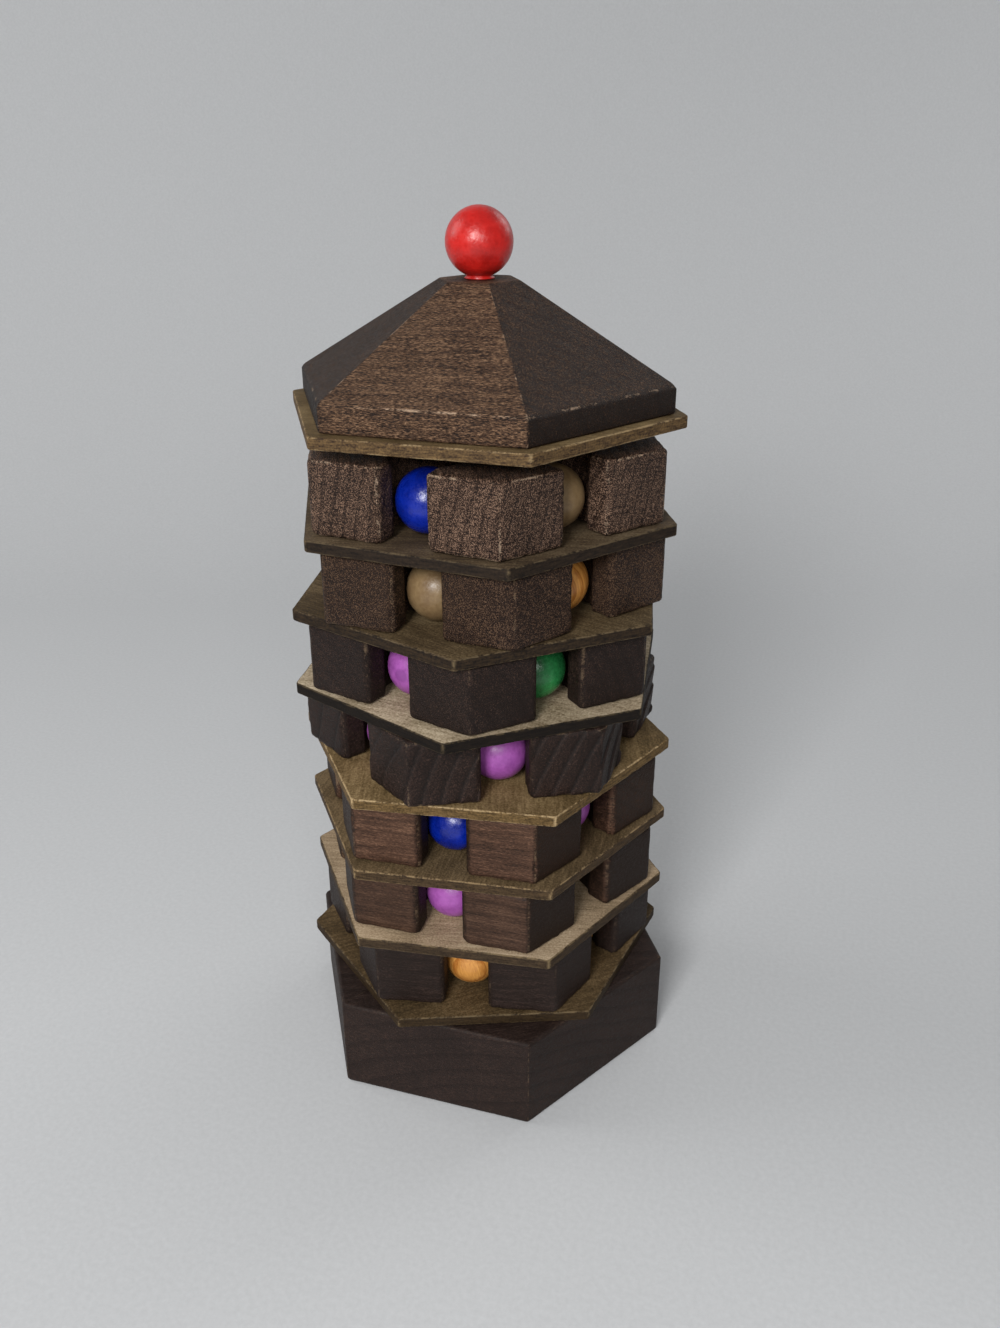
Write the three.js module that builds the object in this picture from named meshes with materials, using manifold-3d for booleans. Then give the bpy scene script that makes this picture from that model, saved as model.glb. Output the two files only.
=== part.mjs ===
// Wooden maze puzzle: a hexagonal pagoda. Tiers and floor plates turn on a dowel, and balls lie in cells.
// Millimetres and degrees, +Z up. The origin is the middle of the base's underside. One side faces -Y.
// A piece's turn is counted anticlockwise from above. At zero turn every side lines up with the base's.

import * as THREE from 'three';
import { mergeVertices } from 'three/addons/utils/BufferGeometryUtils.js';
import loadManifold from 'manifold-3d';

const wasm = await loadManifold();
wasm.setup();

// Balls and the cells that hold them
const BALL_DIAMETER = 12;
const BALL_SEAT_GAP = 0.15; // under a ball at rest on its plate
const CELL_CLEARANCE = 1.4; // cell bore over the ball's diameter
const CELL_HEADROOM = 1.9; // tier thickness over the ball's diameter
const CELL_INSET = 10; // from the tier's side in to the cell's axis
const MOUTH_WIDTH = 9; // less than the ball, which shows in the mouth but cannot leave by it

// Tiers and floor plates
const TIER_ACROSS_FLATS = 64;
const TIER_UPRIGHT_EDGE = 1.3; // radius on the corners and on both sides of each mouth
const TIER_RIM_EDGE = 0.8; // bevel round the top and bottom
const PLATE_THICKNESS = 2.3;
const PLATE_OVERHANG = 2; // plate past the tier on every side
const PLATE_CORNER = 0.6; // radius that wear has given the plate's corners
const RUNNING_GAP = 0.15; // under and over each turning piece
const END_PLAY = 3; // left between the top tier and the roof plate

// Dowel
const DOWEL_DIAMETER = 10;
const DOWEL_END_BEVEL = 0.6;
const DOWEL_CLEARANCE = 0.1; // round the dowel in a turning piece
const GLUE_GAP = 0.05; // round or under a glued piece

// Base
const BASE_HEIGHT = 21.4;
const BASE_STEP = 1.5; // base past the plates on every side
const BASE_EDGE = 0.8;
const BASE_SOCKET_DEPTH = 15;

// Roof and finial
const ROOF_HEIGHT = 22.2;
const ROOF_FASCIA = 5;
const ROOF_SETBACK = 2.05; // roof inside the plates' edge on every side
const ROOF_TOP_ACROSS_FLATS = 13;
const ROOF_EDGE = 0.5;
const ROOF_SOCKET_DEPTH = 10;
const FINIAL_DIAMETER = 12.3;
const FINIAL_NECK_DIAMETER = 4.8;
const FINIAL_FOOT_DIAMETER = 5.6;
const FINIAL_FOOT_HEIGHT = 0.6; // from the roof up to the neck
const TENON_DIAMETER = 3.2;
const TENON_LENGTH = 7;

// Turn of each tier and of the plate under it, from the top down
const TIER_TURNS = [-7.1, -3.2, -15.7, 25.4, 3.2, 1.3, 10.5];
const PLATE_TURNS = [-5.4, -19.2, -22.6, 7.8, 6.8, 6.6, 20.6];

// Balls of each tier, from the cell of its front side anticlockwise. The fourth cell faces the back.
const EMPTY = null;
const TIER_BALLS = [
  ['blue', 'olive', 'green', EMPTY, 'pink', 'orange'],
  ['olive', 'orange', 'blue', EMPTY, 'green', 'pink'],
  ['pink', 'green', 'orange', EMPTY, 'blue', 'olive'],
  ['pink', 'green', 'olive', EMPTY, 'orange', 'pink'],
  ['blue', 'pink', 'olive', EMPTY, 'green', 'orange'],
  ['pink', EMPTY, 'green', EMPTY, 'olive', 'blue'],
  ['orange', 'orange', 'blue', 'olive', 'green', 'blue'],
];

// Facets of the round forms
const BORE_FACETS = 16;
const CELL_FACETS = 9;
const EDGE_FACETS = 1;
const BALL_DETAIL = 2;
const FINIAL_RINGS = 10;
const FINIAL_FACETS = 20;

const FINISHES = {
  stainedBlock: { color: 0x4a352b, roughness: 0.62 },
  stainedBase: { color: 0x45312a, roughness: 0.6 },
  stainedRoof: { color: 0x5a4434, roughness: 0.58 },
  stainedPlate: { color: 0x75664a, roughness: 0.72 },
  bareDowel: { color: 0xc9a877, roughness: 0.65 },
  red: { color: 0xc8201e, roughness: 0.35 },
  blue: { color: 0x12279c, roughness: 0.3 },
  olive: { color: 0x8d7a55, roughness: 0.35 },
  green: { color: 0x1f6f3a, roughness: 0.3 },
  pink: { color: 0xb764c6, roughness: 0.35 },
  orange: { color: 0xd9923f, roughness: 0.35 },
};

// Sizes that follow from the driving ones
const SIDES = 6;
const SIDE_STEP = (2 * Math.PI) / SIDES;
const FRONT = -Math.PI / 2;
const HOLE_SIDE = 3; // a plate's ball hole is on the side that faces the back
const BALL_RADIUS = BALL_DIAMETER / 2;
const CELL_RADIUS = (BALL_DIAMETER + CELL_CLEARANCE) / 2;
const TIER_FLAT = TIER_ACROSS_FLATS / 2;
const CELL_AXIS = TIER_FLAT - CELL_INSET;
const TIER_THICKNESS = BALL_DIAMETER + CELL_HEADROOM;
const PLATE_FLAT = TIER_FLAT + PLATE_OVERHANG;
const BASE_FLAT = PLATE_FLAT + BASE_STEP;
const ROOF_FLAT = PLATE_FLAT - ROOF_SETBACK;
const DOWEL_RADIUS = DOWEL_DIAMETER / 2;
const STOREY = PLATE_THICKNESS + TIER_THICKNESS + 2 * RUNNING_GAP;
const STOREYS = TIER_TURNS.length;
const ROOF_PLATE_BOTTOM = BASE_HEIGHT + STOREYS * STOREY - RUNNING_GAP + END_PLAY;
const ROOF_BOTTOM = ROOF_PLATE_BOTTOM + PLATE_THICKNESS + GLUE_GAP;
const ROOF_TOP = ROOF_BOTTOM + ROOF_HEIGHT;

const radians = THREE.MathUtils.degToRad;
const cornerRadius = (flat) => flat / Math.cos(SIDE_STEP / 2);

// Radius to the corners of a faceted bore whose flats leave a gap all round a rod
const boreRadius = (rodRadius, gap) => (rodRadius + gap) / Math.cos(Math.PI / BORE_FACETS);

// Points of an arc from one angle to another, both ends included
function arc(centre, radius, from, to, facets) {
  const points = [];
  for (let i = 0; i <= facets; i++) {
    const angle = from + ((to - from) * i) / facets;
    const step = new THREE.Vector2(Math.cos(angle), Math.sin(angle)).multiplyScalar(radius);
    points.push(centre.clone().add(step));
  }
  return points;
}

// Faceted circle about a centre, as an outline's hole
function roundHole(centre, radius) {
  const facet = (2 * Math.PI) / BORE_FACETS;
  return new THREE.Path(arc(centre, radius, facet / 2, 2 * Math.PI - facet / 2, BORE_FACETS - 1));
}

// Point on the axis line of one side, at a distance from the middle
function onSide(side, distance) {
  return new THREE.Vector2(distance, 0).rotateAround(new THREE.Vector2(), FRONT + side * SIDE_STEP);
}

// Rounded corner of a hexagon between one side and the next
function hexCorner(side, flat, radius) {
  const facing = FRONT + side * SIDE_STEP;
  const centre = new THREE.Vector2(cornerRadius(flat - radius), 0);
  centre.rotateAround(new THREE.Vector2(), facing + SIDE_STEP / 2);
  return arc(centre, radius, facing, facing + SIDE_STEP, EDGE_FACETS);
}

// One side of a tier's outline, drawn at the front and turned: in by the mouth, round the cell, out again
function cellOutline(side) {
  const half = MOUTH_WIDTH / 2;
  const edge = TIER_UPRIGHT_EDGE;
  const opening = Math.asin(half / CELL_RADIUS);
  const edgeCentre = (along) => new THREE.Vector2(along, -(TIER_FLAT - edge));
  const points = [
    ...arc(edgeCentre(-half - edge), edge, FRONT, 0, EDGE_FACETS),
    ...arc(
      new THREE.Vector2(0, -CELL_AXIS),
      CELL_RADIUS,
      FRONT - opening,
      FRONT - 2 * Math.PI + opening,
      CELL_FACETS,
    ),
    ...arc(edgeCentre(half + edge), edge, Math.PI, 2 * Math.PI + FRONT, EDGE_FACETS),
  ];
  return points.map((point) => point.rotateAround(new THREE.Vector2(), side * SIDE_STEP));
}

// A geometry with only its shared corners left
function welded(geometry) {
  const bare = geometry.clone();
  bare.deleteAttribute('normal');
  bare.deleteAttribute('uv');
  return mergeVertices(bare);
}

function solidOf(geometry) {
  const body = welded(geometry);
  const vertProperties = new Float32Array(body.attributes.position.array);
  const triVerts = new Uint32Array(body.index.array);
  return new wasm.Manifold(new wasm.Mesh({ numProp: 3, vertProperties, triVerts }));
}

// A piece with each of the cutters taken out of it
function cut(piece, ...cutters) {
  let solid = solidOf(piece);
  for (const cutter of cutters) {
    solid = solid.subtract(solidOf(cutter));
  }
  const { vertProperties, triVerts } = solid.getMesh();
  const geometry = new THREE.BufferGeometry();
  geometry.setAttribute('position', new THREE.BufferAttribute(new Float32Array(vertProperties), 3));
  geometry.setIndex(new THREE.BufferAttribute(new Uint32Array(triVerts), 1));
  return geometry;
}

// A profile of [radius, height] pairs turned about the Z axis
function turned(profile, facets, firstAngle = 0) {
  const points = profile.map(([radius, height]) => new THREE.Vector2(radius, height));
  return new THREE.LatheGeometry(points, facets, firstAngle).rotateX(Math.PI / 2);
}

// A profile of [distance to the flat, height] pairs carried round the hexagon
function hexagonal(profile) {
  const corners = profile.map(([flat, height]) => [cornerRadius(flat), height]);
  return turned(corners, SIDES, SIDE_STEP / 2);
}

// A round rod between two heights
function rod(radius, bottom, top) {
  const facet = (2 * Math.PI) / BORE_FACETS;
  return turned([[0, bottom], [radius, bottom], [radius, top], [0, top]], BORE_FACETS, facet / 2);
}

// Tier: one board with six keyhole cells, bored for the dowel and bevelled round both rims
function tierGeometry() {
  const outline = [];
  for (let side = 0; side < SIDES; side++) {
    outline.push(...cellOutline(side));
    outline.push(...hexCorner(side, TIER_FLAT, TIER_UPRIGHT_EDGE));
  }
  const shape = new THREE.Shape(outline);
  shape.holes.push(roundHole(new THREE.Vector2(), boreRadius(DOWEL_RADIUS, DOWEL_CLEARANCE)));
  return new THREE.ExtrudeGeometry(shape, {
    depth: TIER_THICKNESS - 2 * TIER_RIM_EDGE,
    bevelEnabled: true,
    bevelThickness: TIER_RIM_EDGE,
    bevelSize: TIER_RIM_EDGE,
    bevelOffset: -TIER_RIM_EDGE,
    bevelSegments: 1,
  }).translate(0, 0, TIER_RIM_EDGE);
}

// Floor plate: a thin hexagon bored for the dowel, with or without the hole that lets a ball through
function plateGeometry(gap, hasBallHole) {
  const outline = [];
  for (let side = 0; side < SIDES; side++) {
    outline.push(...hexCorner(side, PLATE_FLAT, PLATE_CORNER));
  }
  const shape = new THREE.Shape(outline);
  shape.holes.push(roundHole(new THREE.Vector2(), boreRadius(DOWEL_RADIUS, gap)));
  if (hasBallHole) {
    shape.holes.push(roundHole(onSide(HOLE_SIDE, CELL_AXIS), boreRadius(CELL_RADIUS, 0)));
  }
  return new THREE.ExtrudeGeometry(shape, { depth: PLATE_THICKNESS, bevelEnabled: false });
}

// Base: a solid hexagonal block with its edges broken and a blind socket for the dowel
function baseGeometry() {
  const block = hexagonal([
    [0, 0],
    [BASE_FLAT - BASE_EDGE, 0],
    [BASE_FLAT, BASE_EDGE],
    [BASE_FLAT, BASE_HEIGHT - BASE_EDGE],
    [BASE_FLAT - BASE_EDGE, BASE_HEIGHT],
    [0, BASE_HEIGHT],
  ]);
  const socket = rod(
    boreRadius(DOWEL_RADIUS, GLUE_GAP),
    BASE_HEIGHT - BASE_SOCKET_DEPTH,
    BASE_HEIGHT + BASE_SOCKET_DEPTH,
  );
  return cut(block, socket);
}

// Roof: upright fascia and six slopes to a small flat top, bored for the dowel and for the finial's tenon
function roofGeometry() {
  const pyramid = hexagonal([
    [0, 0],
    [ROOF_FLAT - ROOF_EDGE, 0],
    [ROOF_FLAT, ROOF_EDGE],
    [ROOF_FLAT, ROOF_FASCIA],
    [ROOF_TOP_ACROSS_FLATS / 2, ROOF_HEIGHT],
    [0, ROOF_HEIGHT],
  ]);
  const dowelSocket = rod(boreRadius(DOWEL_RADIUS, GLUE_GAP), -ROOF_SOCKET_DEPTH, ROOF_SOCKET_DEPTH);
  const tenonHole = rod(
    boreRadius(TENON_DIAMETER / 2, GLUE_GAP),
    ROOF_HEIGHT - TENON_LENGTH - GLUE_GAP,
    ROOF_HEIGHT + TENON_LENGTH,
  );
  return cut(pyramid, dowelSocket, tenonHole);
}

function dowelGeometry() {
  const bottom = BASE_HEIGHT - BASE_SOCKET_DEPTH + GLUE_GAP;
  const top = ROOF_BOTTOM + ROOF_SOCKET_DEPTH - GLUE_GAP;
  const profile = [
    [0, bottom],
    [DOWEL_RADIUS - DOWEL_END_BEVEL, bottom],
    [DOWEL_RADIUS, bottom + DOWEL_END_BEVEL],
    [DOWEL_RADIUS, top - DOWEL_END_BEVEL],
    [DOWEL_RADIUS - DOWEL_END_BEVEL, top],
    [0, top],
  ];
  return turned(profile, BORE_FACETS, Math.PI / BORE_FACETS);
}

// Finial: a turned ball on a flared foot, with a tenon below. Its zero height is the roof's top.
function finialGeometry() {
  const radius = FINIAL_DIAMETER / 2;
  const neck = FINIAL_NECK_DIAMETER / 2;
  const tenon = TENON_DIAMETER / 2;
  const start = Math.asin(neck / radius);
  const centre = new THREE.Vector2(0, GLUE_GAP + FINIAL_FOOT_HEIGHT + radius * Math.cos(start));
  const ball = arc(centre, radius, FRONT + start, -FRONT, FINIAL_RINGS);
  const profile = [
    [0, -TENON_LENGTH],
    [tenon, -TENON_LENGTH],
    [tenon, GLUE_GAP],
    [FINIAL_FOOT_DIAMETER / 2, GLUE_GAP],
    ...ball.slice(0, -1).map((point) => [point.x, point.y]),
    [0, centre.y + radius],
  ];
  return turned(profile, FINIAL_FACETS, Math.PI / FINIAL_FACETS);
}

// A named piece with a material of its own
function piece(name, geometry, finish) {
  const material = new THREE.MeshStandardMaterial({ metalness: 0, ...finish });
  const mesh = new THREE.Mesh(welded(geometry), material);
  mesh.name = name;
  return mesh;
}

// A group that stands at a height and has been turned on the dowel
function level(height, turn) {
  const group = new THREE.Group();
  group.position.z = height;
  group.rotation.z = radians(turn);
  return group;
}

function plateLevel(index) {
  const storeysBelow = STOREYS - 1 - index;
  const hasBallHole = storeysBelow > 0;
  const geometry = plateGeometry(DOWEL_CLEARANCE, hasBallHole);
  const group = level(BASE_HEIGHT + RUNNING_GAP + storeysBelow * STOREY, PLATE_TURNS[index]);
  group.add(piece(`plate_${index + 1}`, geometry, FINISHES.stainedPlate));
  return group;
}

function tierLevel(index) {
  const storeysBelow = STOREYS - 1 - index;
  const plateTop = BASE_HEIGHT + RUNNING_GAP + storeysBelow * STOREY + PLATE_THICKNESS;
  const group = level(plateTop + RUNNING_GAP, TIER_TURNS[index]);
  group.add(piece(`tier_${index + 1}`, tierGeometry(), FINISHES.stainedBlock));
  TIER_BALLS[index].forEach((colour, cell) => {
    if (colour === EMPTY) {
      return;
    }
    const name = `${colour}_ball_tier${index + 1}_cell${cell + 1}`;
    const sphere = new THREE.IcosahedronGeometry(BALL_RADIUS, BALL_DETAIL);
    const ball = piece(name, sphere, FINISHES[colour]);
    const seat = onSide(cell, CELL_AXIS);
    ball.position.set(seat.x, seat.y, BALL_SEAT_GAP - RUNNING_GAP + BALL_RADIUS);
    group.add(ball);
  });
  return group;
}

const pagoda = new THREE.Group();
pagoda.add(piece('base', baseGeometry(), FINISHES.stainedBase));
pagoda.add(piece('center_dowel', dowelGeometry(), FINISHES.bareDowel));
for (let index = 0; index < STOREYS; index++) {
  pagoda.add(plateLevel(index));
  pagoda.add(tierLevel(index));
}

const roofPlate = level(ROOF_PLATE_BOTTOM, 0);
roofPlate.add(piece('roof_plate', plateGeometry(GLUE_GAP, false), FINISHES.stainedPlate));
const roof = level(ROOF_BOTTOM, 0);
roof.add(piece('roof', roofGeometry(), FINISHES.stainedRoof));
const finial = level(ROOF_TOP, 0);
finial.add(piece('finial_ball', finialGeometry(), FINISHES.red));
pagoda.add(roofPlate, roof, finial);

export default pagoda;
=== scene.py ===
"""Finish, studio and camera for the wooden pagoda maze puzzle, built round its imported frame.

Every length in the classes below is in millimetres, and meshes are scaled to metres as they are made.
"""

import cmath
import logging
import math
from dataclasses import dataclass
from enum import Enum
from typing import Any, NamedTuple, Sequence

import bmesh
import bpy
from mathutils import Euler, Matrix, Vector, noise


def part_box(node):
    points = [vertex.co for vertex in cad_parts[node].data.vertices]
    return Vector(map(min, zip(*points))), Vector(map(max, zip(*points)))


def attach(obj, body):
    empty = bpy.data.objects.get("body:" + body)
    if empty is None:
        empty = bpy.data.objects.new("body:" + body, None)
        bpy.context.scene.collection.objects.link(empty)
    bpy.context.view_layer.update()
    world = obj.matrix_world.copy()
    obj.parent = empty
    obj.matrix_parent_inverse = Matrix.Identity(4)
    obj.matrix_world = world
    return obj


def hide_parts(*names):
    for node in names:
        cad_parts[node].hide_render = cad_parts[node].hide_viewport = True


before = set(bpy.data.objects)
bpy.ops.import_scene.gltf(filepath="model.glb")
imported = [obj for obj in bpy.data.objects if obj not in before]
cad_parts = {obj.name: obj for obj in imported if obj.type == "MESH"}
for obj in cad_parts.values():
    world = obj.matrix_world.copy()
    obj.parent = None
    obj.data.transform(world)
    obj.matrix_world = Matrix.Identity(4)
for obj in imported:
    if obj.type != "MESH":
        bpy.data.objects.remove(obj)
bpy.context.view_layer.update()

LOG = logging.getLogger("pagoda")
MM = 0.001
SIDES = 6
SIDE_STEP = 2 * math.pi / SIDES
FRONT = -math.pi / 2
ROOT_BODY = "tower"

MIDDLE = 0.5  # Middle of a noise's range.
COMMON = (0.3, 0.7)  # Range that most of a noise lies in.
NOISE_DETAIL = 2.5
NOISE_ROUGHNESS = 0.65
WAVE_PERIOD = math.pi / 10  # Period of a wave texture whose scale is one.
WEAR_FALL = 3  # Power by which wear fades on both sides of an edge.
COAT_ROUGHNESS = 0.2
SMOOTH = {"interpolation_type": "SMOOTHSTEP"}
COLOURS = {"data_type": "RGBA"}

Tree = bpy.types.NodeTree
Socket = bpy.types.NodeSocket
Material = bpy.types.Material
Vert = bmesh.types.BMVert
Loop = list[tuple[Vector, float]]  # Points of a closed line, with their wear.

# Sizes that several pieces share.
BORE_DIAMETER = 10.3
CELL_DIAMETER = 13.4
DOWEL_SOCKET_RADIUS = 5.1

MITRE_LEAST = 0.5  # Least share by which a corner's mitre is divided, so that it stays short.
CORNER_SHARE = 0.97  # Share of the greatest reach past which points belong to a corner.
POINT_DIGITS = 6  # Points of a solid that are less than a micrometre apart count once.


def linear(hex_colour: str) -> tuple[float, float, float, float]:
    """Turn an sRGB hex colour into linear light.

    Args:
        hex_colour: Six hex digits, with or without a leading hash.

    Returns:
        Red, green, blue and an alpha of one.
    """
    digits = hex_colour.lstrip("#")
    shares = [int(digits[i:i + 2], 16) / 255 for i in (0, 2, 4)]
    red, green, blue = [s / 12.92 if s <= 0.04045 else ((s + 0.055) / 1.055) ** 2.4 for s in shares]
    return red, green, blue, 1.0


def add_node(tree: Tree, kind: str, settings: dict[str, Any] | None = None,
             **inputs: Any) -> bpy.types.Node:
    """Add one node, set its properties, and link or fill its inputs.

    Args:
        tree: Node tree that takes the node.
        kind: Node type without its "ShaderNode" prefix.
        settings: Property values by name. A ramp's "stops" are places with their hex colours, in order.
        **inputs: Values or output sockets by input name, with spaces as underscores, or "i" and a number.

    Returns:
        The new node.
    """
    node = tree.nodes.new("ShaderNode" + kind)
    for name, value in (settings or {}).items():
        if name != "stops":
            setattr(node, name, value)
            continue
        elements = node.color_ramp.elements
        while len(elements) < len(value):
            elements.new(MIDDLE)
        for element, (place, colour) in zip(elements, value):
            element.position = place
            element.color = linear(colour)
    for name, value in inputs.items():
        numbered = name[0] == "i" and name[1:].isdigit()
        socket = node.inputs[int(name[1:])] if numbered else node.inputs[name.replace("_", " ")]
        if isinstance(value, Socket):
            tree.links.new(value, socket)
        else:
            socket.default_value = value
    return node


def new_material(name: str) -> tuple[Material, Tree, bpy.types.Node]:
    """Make an empty material with a principled shader.

    Args:
        name: Name of the material.

    Returns:
        The material, its node tree and its shader.
    """
    material = bpy.data.materials.new(name)
    material.use_nodes = True
    tree = material.node_tree
    tree.nodes.clear()
    shader = add_node(tree, "BsdfPrincipled")
    add_node(tree, "OutputMaterial", Surface=shader.outputs[0])
    return material, tree, shader


class Attribute(str, Enum):
    """Numbers that a mesh carries for its finish."""

    WEAR = "wear"
    EDGE = "edge"
    RING = "ring"


def millimetres(tree: Tree, turn: Sequence[float] = (0, 0, 0), middle: float = 0.0,
                shift: float = 0.0) -> Socket:
    """Object coordinates in millimetres, turned so that X runs along the grain.

    Args:
        tree: Node tree that takes the nodes.
        turn: Rotation of the grain.
        middle: Height of the pattern's own origin.
        shift: Way along the grain, which gives each board a pattern of its own.

    Returns:
        The coordinates.
    """
    place = add_node(tree, "TexCoord").outputs["Object"]
    board = add_node(tree, "Mapping", {"vector_type": "TEXTURE"}, Vector=place,
                     Location=(0, 0, middle * MM), Rotation=turn, Scale=(MM, MM, MM)).outputs[0]
    return add_node(tree, "VectorMath", {"operation": "ADD"}, i0=board, i1=(shift, 0.0, 0.0)).outputs[0]


def grain(tree: Tree, board: Socket, marks: Sequence[float]) -> Socket:
    """Noise whose marks have a real size.

    Args:
        tree: Node tree that takes the nodes.
        board: Coordinates in millimetres.
        marks: Size of a mark along the grain, across it and upwards, in millimetres.

    Returns:
        A number round one half.
    """
    place = add_node(tree, "VectorMath", {"operation": "DIVIDE"}, i0=board, i1=marks).outputs[0]
    return add_node(tree, "TexNoise", Vector=place, Scale=1.0, Detail=NOISE_DETAIL,
                    Roughness=NOISE_ROUGHNESS).outputs[0]


def weighted(tree: Tree, start: float, *terms: tuple[Socket, float, float]) -> Socket:
    """Add weighted patterns to a start value.

    Args:
        tree: Node tree that takes the nodes.
        start: Value where every pattern is at its middle.
        *terms: Each pattern with its middle and its weight.

    Returns:
        The sum.
    """
    total: Any = start - sum(middle * weight for _, middle, weight in terms)
    for pattern, _, weight in terms:
        total = add_node(tree, "Math", {"operation": "MULTIPLY_ADD"},
                         i0=pattern, i1=weight, i2=total).outputs[0]
    return total


def dress(tree: Tree, shader: bpy.types.Node, colour: Socket, rough: Socket, roughness: tuple[float, float],
          height: Socket, relief: float, specular: float, coat: float = 0.0) -> None:
    """Link a finish to its shader.

    Args:
        tree: Node tree of the finish.
        shader: Principled shader.
        colour: Base colour.
        rough: Noise that the roughness follows.
        roughness: Least and greatest roughness.
        height: Pattern that the surface's relief follows.
        relief: Depth of the relief in millimetres.
        specular: Level of the reflection.
        coat: Weight of the clear coat.
    """
    matt = add_node(tree, "MapRange", SMOOTH, Value=rough, From_Min=COMMON[0], From_Max=COMMON[1],
                    To_Min=roughness[0], To_Max=roughness[1])
    bump = add_node(tree, "Bump", Strength=1.0, Distance=relief * MM, Height=height)
    links = {"Base Color": colour, "Roughness": matt.outputs[0], "Normal": bump.outputs[0]}
    for name, value in links.items():
        tree.links.new(value, shader.inputs[name])
    shader.inputs["Specular IOR Level"].default_value = specular
    shader.inputs["Coat Weight"].default_value = coat
    shader.inputs["Coat Roughness"].default_value = COAT_ROUGHNESS


@dataclass(frozen=True)
class BrushedRings:
    """Growth rings that a wire brush has left standing as steps on a board's outer sides."""

    board: Matrix
    pith: tuple[float, float]
    ring_width: float
    depth: float
    flat: float
    edge: float
    seed: float

    WAVER = 1.1
    WAVER_LENGTH = 14.0
    FADE_LENGTH = 9.0
    FADE_MIDDLE = 0.75
    FADE_SWING = 0.5
    STEP_SHARE = 0.1
    STAIN_FALL = 5

    def at(self, place: Vector) -> tuple[float, float]:
        """Depth under the sawn side, and share of darkening there, from dark stain that has settled in a
        step's foot and from painted shade in that recess.

        Args:
            place: Point counted from the board's own middle.

        Returns:
            The depth in millimetres and the share.
        """
        sides = (side * SIDE_STEP + FRONT for side in range(SIDES))
        outward = max(place.x * math.cos(side) + place.y * math.sin(side) for side in sides)
        shown = max(0.0, 1 - (self.flat - outward) / self.edge)
        _, across, up = self.board @ place
        seeded = place + Vector((0, 0, self.seed))
        radius = math.hypot(across + self.pith[0], up + self.pith[1])
        radius += self.WAVER * noise.noise(seeded / self.WAVER_LENGTH)
        share = radius / self.ring_width % 1.0
        foot = 1 - share if share > self.STEP_SHARE else share / self.STEP_SHARE * (1 - self.STEP_SHARE)
        fade = self.FADE_MIDDLE + self.FADE_SWING * noise.noise(seeded / self.FADE_LENGTH)
        # The second number darkens the foot of each step: settled stain, and painted shade in the recess.
        return self.depth * shown * fade * foot, shown * fade * foot ** self.STAIN_FALL


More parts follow.
